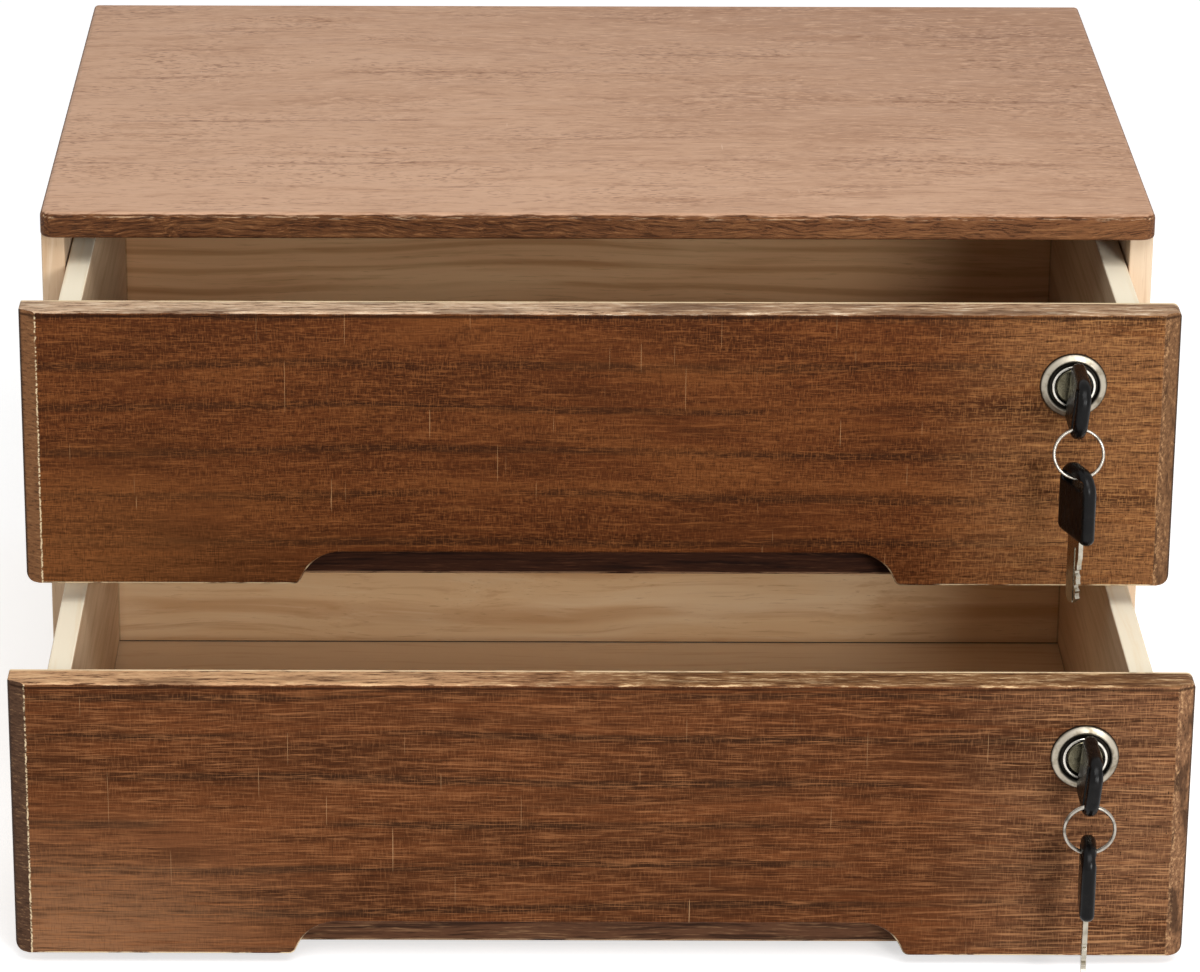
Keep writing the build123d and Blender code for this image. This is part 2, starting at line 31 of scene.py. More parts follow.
def linear(value):
    # sRGB hex to the linear colour that a shader wants
    channels = [int(value[i:i + 2], 16) / 255 for i in (1, 3, 5)]
    curve = [c / 12.92 if c <= 0.04045 else ((c + 0.055) / 1.055) ** 2.4 for c in channels]
    return (*curve, 1.0)


def addNode(tree, kind, *values, out=None, **settings):
    # One node: its settings by name, then a value or a link for each input that it shows. None leaves an
    # input alone, and out names the output that is wanted.
    node = tree.nodes.new("ShaderNode" + kind)
    for name, value in settings.items():
        setattr(node, name, value)
    for socket, value in zip([s for s in node.inputs if s.enabled], values):
        if isinstance(value, bpy.types.NodeSocket):
            tree.links.new(value, socket)
        elif value is not None:
            socket.default_value = value
    return next(s for s in node.outputs if s.enabled and out in (None, s.name))


def newMaterial(name, **fixed):
    # A material with one shader; fixed holds what is the same all over the surface
    material = bpy.data.materials.new(name)
    material.use_nodes = True
    tree = material.node_tree
    tree.nodes.clear()
    shader = tree.nodes.new("ShaderNodeBsdfPrincipled")
    for socket, value in fixed.items():
        shader.inputs[socket.replace("_", " ")].default_value = value
    output = tree.nodes.new("ShaderNodeOutputMaterial")
    tree.links.new(shader.outputs[0], output.inputs[0])
    return material, tree, shader


def coat(tree, below, colour, depth, *masks):
    # One colour laid over another, depth deep where every mask is 1. A mask is a value, or a value with the
    # two limits between which it grows from 0 to 1. Clouds lie around 0.5, mostly between 0.3 and 0.7.
    cover = depth
    for mask in masks:
        if isinstance(mask, tuple):
            mask = addNode(tree, "MapRange", *mask, 0.0, 1.0, interpolation_type="SMOOTHSTEP")
        cover = addNode(tree, "Math", mask, cover, operation="MULTIPLY")
    above = linear(colour) if isinstance(colour, str) else colour
    return addNode(tree, "Mix", cover, below, above, data_type="RGBA")


def between(value, limitsMm):
    # Mask: 0 where a place or distance is at the first limit, 1 where it is at the second
    return value, limitsMm[0] * mm, limitsMm[1] * mm


def drawnOut(way, lengthMm, widthMm):
    # Pattern sizes along X, Y and Z for streaks that run along one axis
    return [lengthMm if axis == way else widthMm for axis in "XYZ"]


def clouds(tree, place, sizesMm, seed, detail=2.0, roughness=0.55):
    # Cloudy pattern whose patches have about these real sizes along X, Y and Z
    moved = addNode(tree, "Mapping", place, (seed, 0.7 * seed, 1.9 * seed), None, [1000 / s for s in sizesMm])
    return addNode(tree, "TexNoise", moved, 1.0, detail, roughness)


def wandering(tree, place, way, sizesMm, swingMm, seed):
    # The place, pushed slowly sideways to the grain, so that every pattern on it bends together
    moved = addNode(tree, "Mapping", place, (seed, seed, 2 * seed), None, [1000 / s for s in sizesMm])
    drift = addNode(tree, "TexNoise", moved, 1.0, 2.0, 0.5, out="Color")
    centred = addNode(tree, "VectorMath", drift, (0.5, 0.5, 0.5), operation="SUBTRACT")
    swing = [0.0 if axis == way else swingMm * mm for axis in "XYZ"]
    return addNode(tree, "VectorMath", centred, swing, place, operation="MULTIPLY_ADD")


def growthRings(tree, place, across, spacingMm, atMm):
    # 1 on each growth ring, -1 halfway between two, with a ring at atMm along the axis
    along = addNode(tree, "SeparateXYZ", place, out=across)
    distance = addNode(tree, "Math", along, atMm * mm, operation="SUBTRACT")
    angle = addNode(tree, "Math", distance, math.tau / (spacingMm * mm), operation="MULTIPLY")
    return addNode(tree, "Math", angle, operation="COSINE")


def near(tree, place, axis, at, widthMm, softMm):
    # Mask: within widthMm of a plane across an axis, and soft outside it
    offset = addNode(tree, "Math", addNode(tree, "SeparateXYZ", place, out=axis), at, operation="SUBTRACT")
    distance = addNode(tree, "Math", offset, operation="ABSOLUTE")
    return distance, (widthMm + softMm) * mm, widthMm * mm


def facing(tree, axis, low, high, ragged=None):
    # Mask: the surface's own normal points along an axis by more than high, and not at low; a ragged pattern
    # moves its border about
    lean = addNode(tree, "SeparateXYZ", addNode(tree, "TexCoord", out="Normal"), out=axis)
    if ragged:
        reach = 0.9
        lean = addNode(tree, "Math", ragged, reach, lean, operation="MULTIPLY_ADD")
        return lean, low + reach / 2, high + reach / 2
    return lean, low, high


def finish(tree, shader, colour, pattern, look, *reliefs):
    # The colour, a roughness between the look's two by a pattern, and a height from patterns, each with the
    # name of its depth in the look
    tree.links.new(colour, shader.inputs["Base Color"])
    rough = addNode(tree, "MapRange", pattern, 0.3, 0.7, *look["rough"])
    tree.links.new(rough, shader.inputs["Roughness"])
    height = 0.0
    for relief, depth in reliefs:
        height = addNode(tree, "Math", relief, look[depth] * mm, height, operation="MULTIPLY_ADD")
    tree.links.new(addNode(tree, "Bump", 1.0, 1.0, None, height), shader.inputs["Normal"])


def fromPoint(tree, place, point, scales):
    # Distance from a point, with each axis scaled: 0 leaves an axis out
    away = addNode(tree, "VectorMath", place, point, operation="SUBTRACT")
    away = addNode(tree, "VectorMath", away, scales, operation="MULTIPLY")
    return addNode(tree, "VectorMath", away, operation="LENGTH", out="Value")


def give(material, *names):
    # The pieces keep their meshes and only change their material
    for name in names:
        mesh = nodes[name].data
        mesh.materials.clear()
        mesh.materials.append(material)


# Paulownia, sanded, stained brown and rubbed thin on the face: a soft pinkish brown with short open pores,
# while the sawn edges drink the stain and stay dark and ragged. A pattern's size is in mm along X, Y and Z,
# and its relief is its depth in mm. Pores and fibres are drawn coarser than real ones, so that they show.
# The face's pale colour is partly painted sheen: it stands in for the light above reflected in the finish.
topBoard = {
    "face": "#c49a7c", "shade": "#a47a5e", "light": "#d2a98b", "line": "#875d43", "pore": "#7a5238",
    "scratch": "#e6c9ae", "edge": "#603a20", "edgeEnd": "#7c5032", "edgeDark": "#261209",
    "edgeLight": "#9a6a43", "worn": "#e0bc96",
    "ringMm": 27.0, "ringAtMm": -103.0, "rough": (0.46, 0.58),
    "bendMm": (230.0, 90.0, 90.0), "swingMm": 40.0, "curlMm": (18.0, 12.0, 12.0), "curlSwingMm": 4.0,
    "patchMm": (120.0, 50.0, 50.0), "clusterMm": (60.0, 30.0, 30.0), "figureMm": (60.0, 7.0, 7.0),
    "fibreMm": (9.0, 1.4, 1.4), "dashMm": (3.6, 0.9, 0.9), "scratchMm": (0.5, 13.0, 13.0),
    "tornMm": (11.0, 0.65, 0.65), "tuftMm": (60.0, 4.0, 4.0), "chipMm": (9.0, 0.8, 0.8),
    "nearLeftMm": (20.0, -240.0), "farRightMm": (0.0, 260.0), "edgeEndMm": (-60.0, 120.0), "arrisMm": 1.5,
    "tornReliefMm": 0.55, "fibreReliefMm": 0.06, "poreReliefMm": -0.08,
}


def topFace(tree, place, curled, bent, look):
    # The sanded face, and the patterns that its shine and relief follow
    patches = clouds(tree, bent, look["patchMm"], 2.0, detail=3.0)
    clusters = clouds(tree, bent, look["clusterMm"], 9.0, detail=3.0)
    figure = clouds(tree, curled, look["figureMm"], 4.0, detail=4.0, roughness=0.65)
    fibres = clouds(tree, curled, look["fibreMm"], 6.0, detail=3.0, roughness=0.65)
    dashes = clouds(tree, curled, look["dashMm"], 5.0, detail=1.0)
    marks = clouds(tree, place, look["scratchMm"], 4.0, detail=0.0)
    ring = growthRings(tree, bent, "Y", look["ringMm"], look["ringAtMm"])
    colour = coat(tree, linear(look["face"]), look["shade"], 0.4, (patches, 0.48, 0.72))
    colour = coat(tree, colour, look["light"], 0.5, (patches, 0.52, 0.3))
    # Lighter towards the near left corner, darker towards the far right one
    sides, back = [addNode(tree, "SeparateXYZ", place, out=axis) for axis in "XY"]
    corner = addNode(tree, "Math", sides, 0.9, back, operation="MULTIPLY_ADD")
    colour = coat(tree, colour, look["light"], 0.6, between(corner, look["nearLeftMm"]))
    colour = coat(tree, colour, look["shade"], 0.6, between(corner, look["farRightMm"]))
    # Figure, growth lines, fibres and open pores
    colour = coat(tree, colour, look["shade"], 0.5, (figure, 0.5, 0.72))
    colour = coat(tree, colour, look["line"], 0.45, (ring, 0.94, 1.0), (clusters, 0.44, 0.6))
    colour = coat(tree, colour, look["line"], 0.45, (fibres, 0.47, 0.3))
    colour = coat(tree, colour, look["light"], 0.85, (fibres, 0.53, 0.68))
    colour = coat(tree, colour, look["pore"], 0.68, (dashes, 0.57, 0.7), (clusters, 0.42, 0.62))
    colour = coat(tree, colour, look["light"], 0.7, (dashes, 0.44, 0.32), (clusters, 0.36, 0.6))
    colour = coat(tree, colour, look["scratch"], 0.7, (marks, 0.87, 0.9))
    return colour, figure, fibres, dashes


def topEdges(tree, place, torn, chips, look):
    # Torn fibres, dark in the hollows, with a pale broken line along the upper arris: worn wood and a painted
    # highlight
    tufts = clouds(tree, place, look["tuftMm"], 1.0)
    towardsRight = between(addNode(tree, "SeparateXYZ", place, out="X"), look["edgeEndMm"])
    edge = coat(tree, linear(look["edge"]), look["edgeEnd"], 0.8, towardsRight)
    edge = coat(tree, edge, look["edgeDark"], 0.7, (torn, 0.5, 0.4))
    edge = coat(tree, edge, look["edgeLight"], 0.7, (torn, 0.54, 0.66))
    edge = coat(tree, edge, look["edgeLight"], 0.3, (tufts, 0.5, 0.75))
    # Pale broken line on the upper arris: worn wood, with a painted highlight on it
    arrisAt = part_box("top_panel")[1].z - look["arrisMm"] * mm
    arris = near(tree, place, "Z", arrisAt, widthMm=0.1, softMm=0.7)
    return coat(tree, edge, look["worn"], 0.6, arris, (chips, 0.52, 0.64))


def topMaterial(look):
    material, tree, shader = newMaterial("stainedPaulowniaTop", IOR=1.5, Specular_IOR_Level=0.1)
    place = addNode(tree, "TexCoord", out="Object")
    bent = wandering(tree, place, "X", look["bendMm"], look["swingMm"], 3.0)
    curled = wandering(tree, bent, "X", look["curlMm"], look["curlSwingMm"], 8.0)
    torn = clouds(tree, curled, look["tornMm"], 7.0, detail=4.0, roughness=0.7)
    chips = clouds(tree, place, look["chipMm"], 12.0, detail=4.0, roughness=0.7)
    face, figure, fibres, dashes = topFace(tree, place, curled, bent, look)
    up = facing(tree, "Z", 0.6, 0.85, chips)
    colour = coat(tree, topEdges(tree, place, torn, chips, look), face, 1.0, up)
    # The torn relief is only on the edges: the face has its middle height all over
    tornEdge = coat(tree, torn, (0.5, 0.5, 0.5, 1.0), 1.0, up)
    reliefs = [(tornEdge, "tornReliefMm"), (fibres, "fibreReliefMm"), (dashes, "poreReliefMm")]
    finish(tree, shader, colour, figure, look, *reliefs)
    return material


give(topMaterial(topBoard), "top_panel")
print("top done")


# Drawer fronts of the same wood, stained dark and brushed: growth rings as slow dark bands, fine threads of
# stain along and across them, bevelled ends and arrises worn through to the pale wood. The two boards differ
# in colour and figure, and what they share comes first. A fade along X has its two ends, in mm from the
# middle of the board.
frontWood = {
    "bendMm": (260.0, 80.0, 60.0), "curlMm": (30.0, 7.0, 7.0), "curlSwingMm": 1.2, "rough": (0.62, 0.45),
    "patchMm": (90.0, 20.0, 16.0), "blotchMm": (34.0, 20.0, 16.0), "fadeMm": (80.0, 12.0, 12.0),
    "figureMm": (60.0, 3.0, 3.0), "gougeMm": (0.4, 16.0, 24.0), "speckMm": (0.7, 0.7, 0.7),
    "hatchMm": (3.0, 3.0, 0.7), "endCurlMm": (1.0, 1.0, 1.6), "endPatchMm": (4.0, 4.0, 12.0),
    "wobbleMm": (3.0, 3.0, 1.2), "wobbleSwingMm": 0.9, "beadMm": (2.0, 2.0, 1.1), "beadGrowth": (-0.04, 0.07),
    "nickMm": (14.0, 6.0, 6.0), "rubbedMm": (9.0, 1.1, 1.1), "stainMm": (50.0, 6.0, 6.0),
    "fibreReliefMm": 0.05, "threadReliefMm": 0.03, "rubbedReliefMm": 0.08,
    "rightEndMm": (100.0, 165.0), "leftFootMm": (-70.0, -185.0), "topLeftMm": (-20.0, -70.0),
    "topRightMm": (-40.0, 30.0), "footTopMm": 35.0, "wornFootMm": (9.0, 5.0),
    "leftArrisMm": 5.7, "rightArrisMm": 5.2, "upperArrisMm": 1.5,
}
frontBoards = {
    "upper": {
        "face": "#552c14", "deep": "#3b1d0c", "light": "#6f401f", "band": "#311b0e", "thread": "#83502b",
        "pore": "#1c0c05", "rightEnd": "#815635", "rightThread": "#b98754", "leftFoot": "#744725",
        "top": "#cbaa8b", "topLeft": "#cbaa8b", "topRight": "#ab8869", "topDark": "#5b3f2c",
        "topLight": "#efd9bb", "cream": "#f0d8ae", "leftBevel": "#7a5336", "bevelDark": "#3a271b",
        "rightBevel": "#765439", "rightSpeck": "#b58a60", "outline": "#2c1c12",
        "ringMm": 15.8, "ringAtMm": 32.0, "swingMm": 12.0, "bandDepth": 0.72, "seed": 0.0,
        "fibreMm": (16.0, 0.7, 0.7), "fibreDepth": 0.6,
        "threads": [((0.45, 9.0, 3.2), 0.46), ((3.6, 9.0, 0.45), 0.42)],  # sizes in mm, depth of colour
    },
    "lower": {
        "face": "#542e17", "deep": "#3a1f0f", "light": "#6c3d20", "band": "#2e1c10", "thread": "#95623d",
        "pore": "#1c0c05", "rightEnd": "#724d35", "rightThread": "#ba8b61", "leftFoot": "#94694a",
        "top": "#aa7d59", "topLeft": "#cb9e75", "topRight": "#86603f", "topDark": "#46291a",
        "topLight": "#ecc798", "cream": "#f6dcb2", "leftBevel": "#543c2d", "bevelDark": "#2c1e16",
        "rightBevel": "#825d42", "rightSpeck": "#c0966c", "outline": "#3c2a20",
        "ringMm": 15.0, "ringAtMm": 63.0, "swingMm": 14.0, "bandDepth": 0.75, "seed": 21.0,
        "fibreMm": (34.0, 0.7, 0.7), "fibreDepth": 0.62,
        "threads": [((0.45, 9.0, 4.0), 0.24), ((10.0, 9.0, 0.45), 0.44)],
    },
}


def frontFace(tree, place, bent, curled, look, low, high):
    # The brushed face, and the patterns that its shine and relief follow
    seed = look["seed"]
    patches = clouds(tree, bent, look["patchMm"], 2.0 + seed, detail=3.0)
    blotches = clouds(tree, place, look["blotchMm"], 3.0 + seed)
    fade = clouds(tree, bent, look["fadeMm"], 4.0 + seed)
    figure = clouds(tree, curled, look["figureMm"], 6.0 + seed, detail=3.0, roughness=0.65)
    fibres = clouds(tree, curled, look["fibreMm"], 7.0 + seed, detail=3.0, roughness=0.7)
    ring = growthRings(tree, curled, "Z", look["ringMm"], low.z / mm + look["ringAtMm"])
    colour = coat(tree, linear(look["face"]), look["deep"], 0.6, (patches, 0.46, 0.68))
    colour = coat(tree, colour, look["light"], 0.55, (patches, 0.5, 0.32))
    colour = coat(tree, colour, look["band"], look["bandDepth"], (ring, 0.7, 1.0), (fade, 0.3, 0.48))
    # Stain rubbed thinner towards the lower left corner, and towards the right end, which is also painted
    # lighter: painted light falling from the right
    sides, height = [addNode(tree, "SeparateXYZ", place, out=axis) for axis in "XZ"]
    right, left = between(sides, look["rightEndMm"]), between(sides, look["leftFootMm"])
    foot = (height, high.z - look["footTopMm"] * mm, low.z)
    # The right end's paler colour is partly painted light from the right
    colour = coat(tree, colour, look["rightEnd"], 0.85, right, (patches, 0.9, 0.4))
    colour = coat(tree, colour, look["leftFoot"], 0.8, left, foot)
    colour = coat(tree, colour, look["deep"], 0.55, (figure, 0.5, 0.68))
    colour = coat(tree, colour, look["light"], 0.5, (figure, 0.46, 0.32))
    colour = coat(tree, colour, look["pore"], 0.4, (fibres, 0.46, 0.32))
    colour = coat(tree, colour, look["thread"], look["fibreDepth"], (fibres, 0.54, 0.68))
    # Fine threads of stain along and across the board, stronger in some patches and at the right end
    for sizesMm, depth in look["threads"]:
        threads = clouds(tree, place, sizesMm, 6.0 + seed)
        colour = coat(tree, colour, look["rightThread"], depth, (threads, 0.52, 0.66), right)
        colour = coat(tree, colour, look["thread"], depth, (threads, 0.52, 0.66), (blotches, 0.1, 0.6))
        colour = coat(tree, colour, look["pore"], depth, (threads, 0.47, 0.32), (blotches, 0.1, 0.6))
    colour = coat(tree, colour, look["rightThread"], 0.5, (fibres, 0.53, 0.7), right)
    colour = coat(tree, colour, look["pore"], 0.5, (fibres, 0.46, 0.32), right)
    # A few upright scratches, pale or dark, and dark specks at the right end
    gouges = clouds(tree, place, look["gougeMm"], 2.0 + seed, detail=0.0)
    colour = coat(tree, colour, look["rightSpeck"], 0.55, (gouges, 0.862, 0.885))
    colour = coat(tree, colour, look["pore"], 0.45, (gouges, 0.13, 0.11))
    specks = clouds(tree, place, look["speckMm"], 11.0 + seed, detail=0.0)
    colour = coat(tree, colour, look["pore"], 0.8, right, (specks, 0.77, 0.81))
    return colour, figure, fibres, threads


def frontBevels(tree, place, curled, look, low, high, colour):
    # Bevelled ends: fine level hatches of end grain at the left, curly mottled end grain at the right
    seed = look["seed"]
    leftward, rightward = facing(tree, "X", -0.2, -0.42), facing(tree, "X", 0.2, 0.42)
    hatches = clouds(tree, place, look["hatchMm"], 3.0 + seed, detail=4.0, roughness=0.7)
    curls = clouds(tree, curled, look["endCurlMm"], 4.0 + seed, detail=5.0, roughness=0.75)
    curlPatches = clouds(tree, place, look["endPatchMm"], 8.0 + seed, detail=3.0)
    leftTone = coat(tree, linear(look["leftBevel"]), look["bevelDark"], 0.7, (hatches, 0.5, 0.34))
    leftTone = coat(tree, leftTone, look["rightSpeck"], 0.45, (hatches, 0.54, 0.72))
    rightTone = coat(tree, linear(look["rightBevel"]), look["bevelDark"], 0.7, (curlPatches, 0.52, 0.34))
    rightTone = coat(tree, rightTone, look["bevelDark"], 0.6, (curls, 0.5, 0.36))
    rightTone = coat(tree, rightTone, look["rightSpeck"], 0.7, (curls, 0.52, 0.64), (curlPatches, 0.4, 0.62))
    colour = coat(tree, colour, leftTone, 1.0, leftward)
    colour = coat(tree, colour, rightTone, 1.0, rightward)
    # Painted shade on the outer rounding of each bevelled end
    colour = coat(tree, colour, look["outline"], 0.85, (leftward[0], -0.62, -0.85))
    colour = coat(tree, colour, look["outline"], 0.85, (rightward[0], 0.62, 0.85))
    # Wear along the bevels' inner arrises: at the left, beads that grow together towards the foot
    height = addNode(tree, "SeparateXYZ", place, out="Z")
    growth = addNode(tree, "MapRange", height, high.z, low.z, *look["beadGrowth"])
    beads = clouds(tree, place, look["beadMm"], 9.0 + seed, detail=3.0, roughness=0.7)
    beads = addNode(tree, "Math", beads, growth, operation="ADD")
    wobble = wandering(tree, place, "Z", look["wobbleMm"], look["wobbleSwingMm"], 4.0 + seed)
    leftLine = near(tree, wobble, "X", low.x + look["leftArrisMm"] * mm, widthMm=0.02, softMm=0.42)
    rightLine = near(tree, wobble, "X", high.x - look["rightArrisMm"] * mm, widthMm=0.2, softMm=1.2)
    colour = coat(tree, colour, look["cream"], 0.9, (beads, 0.42, 0.56), leftLine)
    return coat(tree, colour, look["rightSpeck"], 0.8, (curls, 0.5, 0.62), rightLine)


def frontEdges(tree, place, look, low, high, colour):
    # Pale broken line on the lower arris, and a little way up the ends of the notch
    seed = look["seed"]
    nicks = clouds(tree, place, look["nickMm"], 5.0 + seed, detail=4.0, roughness=0.65)
    sides, height = [addNode(tree, "SeparateXYZ", place, out=axis) for axis in "XZ"]
    lowDown = (height, *[low.z + above * mm for above in look["wornFootMm"]])
    lowerArris = (facing(tree, "Y", -0.3, -0.6), facing(tree, "Z", -0.12, -0.4), (nicks, 0.38, 0.52), lowDown)
    colour = coat(tree, colour, look["cream"], 0.9, *lowerArris)
    # Upper edge: rubbed streaks, with a painted highlight as a cream line at the back arris, and a painted
    # shadow line on the face under the front arris
    rubbed = clouds(tree, place, look["rubbedMm"], 2.0 + seed, detail=4.0, roughness=0.72)
    stains = clouds(tree, place, look["stainMm"], 6.0 + seed, detail=3.0)
    topTone = linear(look["top"])
    for end in ("topLeft", "topRight"):
        topTone = coat(tree, topTone, look[end], 1.0, between(sides, look[end + "Mm"]))
    topTone = coat(tree, topTone, look["topDark"], 0.9, (rubbed, 0.5, 0.36))
    topTone = coat(tree, topTone, look["topLight"], 0.8, (rubbed, 0.53, 0.66))
    topTone = coat(tree, topTone, look["topDark"], 0.6, (stains, 0.5, 0.66))
    # Painted highlight along the back arris, broken by nicks
    backLine = near(tree, place, "Y", high.y, widthMm=1.2, softMm=0.5)
    topTone = coat(tree, topTone, look["cream"], 0.9, backLine, (nicks, 0.3, 0.48))
    colour = coat(tree, colour, topTone, 1.0, facing(tree, "Z", 0.35, 0.7, rubbed))
    # Painted shadow under the front arris, drawn in the pore colour
    shadowLine = near(tree, place, "Z", high.z - look["upperArrisMm"] * mm, widthMm=0.15, softMm=0.6)
    colour = coat(tree, colour, look["pore"], 0.7, shadowLine, facing(tree, "Y", -0.5, -0.9))
    return colour, rubbed


def frontMaterial(level, look):
    material, tree, shader = newMaterial(level + "StainedFront", IOR=1.5, Specular_IOR_Level=0.04)
    low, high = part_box(level + "_drawer_front")
    place = addNode(tree, "TexCoord", out="Object")
    bent = wandering(tree, place, "X", look["bendMm"], look["swingMm"], 1.0 + look["seed"])
    curled = wandering(tree, bent, "X", look["curlMm"], look["curlSwingMm"], 5.0 + look["seed"])
    colour, figure, fibres, threads = frontFace(tree, place, bent, curled, look, low, high)
    colour = frontBevels(tree, place, curled, look, low, high, colour)
    colour, rubbed = frontEdges(tree, place, look, low, high, colour)
    reliefs = [(fibres, "fibreReliefMm"), (threads, "threadReliefMm"), (rubbed, "rubbedReliefMm")]
    finish(tree, shader, colour, figure, look, *reliefs)
    return material


for level in levels:
    give(frontMaterial(level, {**frontWood, **frontBoards[level]}), level + "_drawer_front")
print("fronts done")


# The inner front of each drawer box, stained nearly black-brown where it shows in the finger notch. The upper
# one's darker colours are painted shade in the notch, the lower one's lighter colours painted light from the
# floor. Here and on the pale boards a pattern's two sizes are along the grain and across it.
innerWood = {
    "bendMm": (60.0, 20.0), "swingMm": 3.0, "figureMm": (45.0, 2.2), "fibreMm": (14.0, 0.7),
    "rough": (0.7, 0.5), "fibreReliefMm": 0.08,
}
innerFronts = {
    # The upper look is darker as painted shade, the lower lighter as painted light from the floor
    "upper": {"face": "#3a1f12", "dark": "#1c0d07", "light": "#5e3a26", "worn": "#b08a68", "seed": 4.0},
    "lower": {"face": "#5f3e2a", "dark": "#26140b", "light": "#96704f", "worn": "#c8a47e", "seed": 9.0},
}


def innerFrontMaterial(level, look):
    material, tree, shader = newMaterial(level + "StainedInnerFrontWithPaintedLight", IOR=1.5, Specular_IOR_Level=0.1)
    seed = look["seed"]
    place = addNode(tree, "TexCoord", out="Object")
    bent = wandering(tree, place, "X", drawnOut("X", *look["bendMm"]), look["swingMm"], seed)
    figure = clouds(tree, bent, drawnOut("X", *look["figureMm"]), seed, detail=3.0)
    fibres = clouds(tree, bent, drawnOut("X", *look["fibreMm"]), 2.0 + seed, detail=3.0, roughness=0.7)
    colour = coat(tree, linear(look["face"]), look["dark"], 0.8, (figure, 0.46, 0.64))
    colour = coat(tree, colour, look["light"], 0.7, (fibres, 0.54, 0.7))
    colour = coat(tree, colour, look["dark"], 0.7, (fibres, 0.46, 0.34))
    # Pale line along the foot: scuffs, with painted light on the lowest millimetre that light reaches under
    # the notch
    foot = near(tree, place, "Z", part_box(level + "_box_front")[0].z, widthMm=0.5, softMm=0.6)
    colour = coat(tree, colour, look["worn"], 0.6, foot, (fibres, 0.4, 0.5))
    finish(tree, shader, colour, fibres, look, (fibres, "fibreReliefMm"))
    return material


for level in levels:
    give(innerFrontMaterial(level, {**innerWood, **innerFronts[level]}), level + "_box_front")
print("inner fronts done")


# Bare pale boards, planed and unfinished: cream wood with faint tan rings and fine fibres, dull all over.
# Painted shadow sits in the joints: a dark line in each, with painted shade beside it. Each joint is the axis
# across it, the piece and the end of its box where it lies, and how deep the shadow's colour is. Its line and
# its shade have a half width and a soft border, and it stays within drawerHalfMm of the middle of its
# drawer's height. Fibres are drawn coarser than real ones, to show.
jointShadow = {"colour": "#1a1009", "lineMm": (0.35, 0.2), "shadeMm": (0.3, 3.0), "drawerHalfMm": 48.0}
drawerFloor = ("Z", "_box_bottom", 1, 0.95)
drawerSides = [("X", "_box_left_side", 1, 0.3), ("X", "_box_right_side", 0, 0.3)]
drawerBack = ("Y", "_box_back", 0, 0.3)
paleWood = {
    "bendMm": (150.0, 50.0), "curlMm": (30.0, 8.0), "curlSwingMm": 0.8, "patchMm": (130.0, 22.0),
    "figureMm": (90.0, 2.6), "fibreMm": (20.0, 0.7), "rough": (0.58, 0.72), "fibreReliefMm": 0.05,
    "figureReliefMm": 0.03, "joints": [],
}
paleBoards = {
    "boxSides": {
        "grain": "Y", "across": "Z", "face": "#d2b391", "ring": "#b8946f", "light": "#dfc4a4",
        "fibre": "#a07c56", "edge": "#fff3d9", "edgeShade": "#f6e0ba", "ringMm": 11.0, "ringAtMm": 6.0,
        "swingMm": 14.0, "ringDepth": 0.3, "seed": 1.0, "joints": [drawerFloor, drawerBack],
        "on": [level + side for level in levels for side in ("_box_left_side", "_box_right_side")],
    },
    "upperBoxBack": {
        "grain": "X", "across": "Z", "face": "#ebbc8c", "ring": "#bc8654", "light": "#f5cc9c",
        "fibre": "#9e6c40", "edge": "#fbeed4", "edgeShade": "#eed7b2", "ringMm": 8.5, "ringAtMm": 3.0,
        "swingMm": 14.0, "ringDepth": 0.55, "seed": 27.0, "joints": [drawerFloor, *drawerSides],
        "on": ["upper_box_back"],
    },
    "lowerBoxBack": {
        "grain": "X", "across": "Z", "face": "#f3d0a2", "ring": "#cd9c6c", "light": "#fde2bb",
        "fibre": "#b07c4e", "edge": "#fbeed4", "edgeShade": "#eed7b2", "ringMm": 19.0, "ringAtMm": 10.0,
        "swingMm": 26.0, "ringDepth": 0.6, "seed": 5.0, "joints": [drawerFloor, *drawerSides],
        "knot": "#6a3d1e", "knotMm": 2.4, "knotAtMm": (-169.0, 0.0, 14.0), "on": ["lower_box_back"],
    },
    "boxBottom": {
        "grain": "X", "across": "Y", "face": "#f9e2c4", "ring": "#ddb892", "light": "#fff2dc",
        "fibre": "#b48c64", "edge": "#f3dcbd", "edgeShade": "#dcb991", "ringMm": 17.0, "ringAtMm": 3.0,
        "swingMm": 30.0, "ringDepth": 0.4, "seed": 11.0, "joints": [*drawerSides, drawerBack],
        "on": [level + "_box_bottom" for level in levels],
    },
    "cabinetSides": {
        "grain": "Z", "across": "Y", "face": "#dec5a7", "ring": "#bf976e", "light": "#e8d2b6",
        "fibre": "#a87a56", "edge": "#e6cba9", "edgeShade": "#c79e74", "ringMm": 13.0, "ringAtMm": 3.0,
        "swingMm": 20.0, "ringDepth": 0.45, "seed": 14.0,
        "on": ["left_side_panel", "right_side_panel"],
    },
    "hiddenPly": {
        "grain": "X", "across": "Z", "face": "#d8b78f", "ring": "#b58d62", "light": "#e6caa2",
        "fibre": "#94704a", "edge": "#e6caa2", "edgeShade": "#b58d62", "ringMm": 19.0, "ringAtMm": 3.0,
        "swingMm": 34.0, "ringDepth": 0.5, "seed": 17.0,
        "on": ["divider_shelf", "base_panel", "back_panel"],
    },
    "beechDowels": {
        "grain": "Z", "across": "X", "face": "#d9b384", "ring": "#b88c5c", "light": "#e8caa0",
        "fibre": "#8f683c", "edge": "#d9b384", "edgeShade": "#b88c5c", "ringMm": 3.0, "ringAtMm": 0.0,
        "swingMm": 2.0, "ringDepth": 0.4, "seed": 19.0, "on": ["top_dowels"],
    },
}


